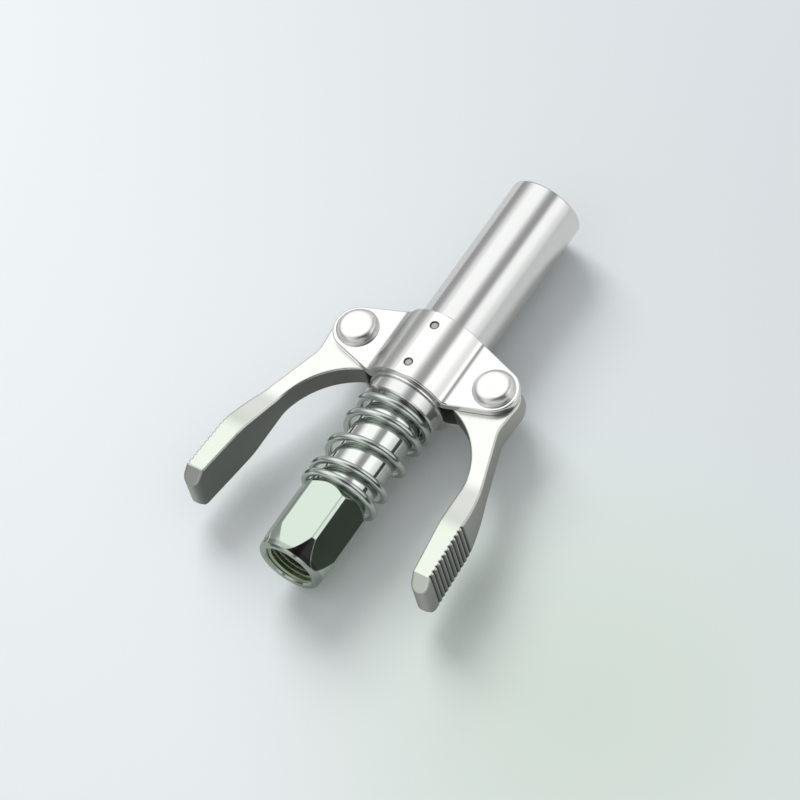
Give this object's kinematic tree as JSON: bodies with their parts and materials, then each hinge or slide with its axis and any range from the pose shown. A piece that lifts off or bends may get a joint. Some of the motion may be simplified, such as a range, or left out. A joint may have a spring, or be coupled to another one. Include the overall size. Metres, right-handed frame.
{
  "type": "grease coupler",
  "caption": "Squeeze-handle grease coupler: tapped hexagonal inlet, sprung sleeve and pivoting handles that draw it back so a jawed nose opens over a grease fitting.",
  "frame": {"origin": "centre of the tapped inlet's mouth", "axes": "+Y along the coupler from the inlet to the nose, +X to the right handle, +Z across the plane the handles swing in"},
  "size_m": [0.0552, 0.09, 0.0178],
  "materials": {
    "inlet_plating": "bright plated",
    "sleeve_plating": "bright plated, polished lengthways",
    "yoke_plating": "bright plated",
    "rivet_plating": "bright plated",
    "handle_satin": "satin plated",
    "spring_wire": "bright plated",
    "spring_steel": "oiled",
    "pin_steel": "ground",
    "jaw_steel": "hardened, turned",
    "carrier_brass": "turned",
    "ring_rubber": "matt",
    "seal_polymer": "matt"
  },
  "bodies": {
    "core": {"inlet_body": "inlet_plating", "return_spring": "spring_wire", "jaw_ring": "ring_rubber", "seal_spring": "spring_wire", "check_spring": "spring_wire", "check_retainer": "carrier_brass"},
    "slider": {"sleeve": "sleeve_plating", "yoke_plate_top": "yoke_plating", "yoke_plate_bottom": "yoke_plating", "yoke_lock_pins": "pin_steel", "snap_ring": "spring_steel", "rivet_left": "rivet_plating", "rivet_right": "rivet_plating"},
    "handle_left": {"lever_left": "handle_satin"},
    "handle_right": {"lever_right": "handle_satin"},
    "seal_unit": {"seal_carrier": "carrier_brass", "nose_seal": "seal_polymer", "carrier_o_ring": "ring_rubber"},
    "valve_ball": {"check_ball": "pin_steel"},
    "jaw_unit_1": {"jaw_1": "jaw_steel"},
    "jaw_unit_2": {"jaw_2": "jaw_steel"},
    "jaw_unit_3": {"jaw_3": "jaw_steel"},
    "jaw_unit_4": {"jaw_4": "jaw_steel"}
  },
  "joints": [
    {"name": "sleeve_slide", "type": "slide", "parent": "core", "child": "slider", "axis": [0, -1, 0], "range_m": [0, 0.0035], "stiffness_N_per_m": 3400, "springref_m": -0.0044, "deforming": ["return_spring"]},
    {"name": "handle_left_squeeze", "type": "hinge", "parent": "slider", "child": "handle_left", "pos_m": [-0.01545, 0.0483, 0], "axis": [0, 0, 1], "range_deg": [0, 21.5]},
    {"name": "handle_right_squeeze", "type": "hinge", "parent": "slider", "child": "handle_right", "pos_m": [0.01545, 0.0483, 0], "axis": [0, 0, -1], "range_deg": [0, 21.5]},
    {"name": "jaw_1_open", "type": "hinge", "parent": "core", "child": "jaw_unit_1", "pos_m": [0.00339, 0.064, 0.00339], "axis": [0.7071, 0, -0.7071], "range_deg": [0, 1.5]},
    {"name": "jaw_2_open", "type": "hinge", "parent": "core", "child": "jaw_unit_2", "pos_m": [-0.00339, 0.064, 0.00339], "axis": [0.7071, 0, 0.7071], "range_deg": [0, 1.5]},
    {"name": "jaw_3_open", "type": "hinge", "parent": "core", "child": "jaw_unit_3", "pos_m": [-0.00339, 0.064, -0.00339], "axis": [-0.7071, 0, 0.7071], "range_deg": [0, 1.5]},
    {"name": "jaw_4_open", "type": "hinge", "parent": "core", "child": "jaw_unit_4", "pos_m": [0.00339, 0.064, -0.00339], "axis": [-0.7071, 0, -0.7071], "range_deg": [0, 1.5]},
    {"name": "seal_slide", "type": "slide", "parent": "core", "child": "seal_unit", "axis": [0, -1, 0], "range_m": [0, 0.0015], "stiffness_N_per_m": 800, "springref_m": -0.0012, "deforming": ["seal_spring"]},
    {"name": "check_lift", "type": "slide", "parent": "core", "child": "valve_ball", "axis": [0, 1, 0], "range_m": [0, 0.001], "stiffness_N_per_m": 300, "springref_m": -0.001, "deforming": ["check_spring"]}
  ],
  "couplings": [
    {"joint": "handle_left_squeeze", "follows": "sleeve_slide", "rad_per_m": 106.6},
    {"joint": "handle_right_squeeze", "follows": "sleeve_slide", "rad_per_m": 106.6},
    {"joint": "jaw_1_open", "follows": "sleeve_slide", "rad_per_m": 7.47},
    {"joint": "jaw_2_open", "follows": "sleeve_slide", "rad_per_m": 7.47},
    {"joint": "jaw_3_open", "follows": "sleeve_slide", "rad_per_m": 7.47},
    {"joint": "jaw_4_open", "follows": "sleeve_slide", "rad_per_m": 7.47}
  ]
}
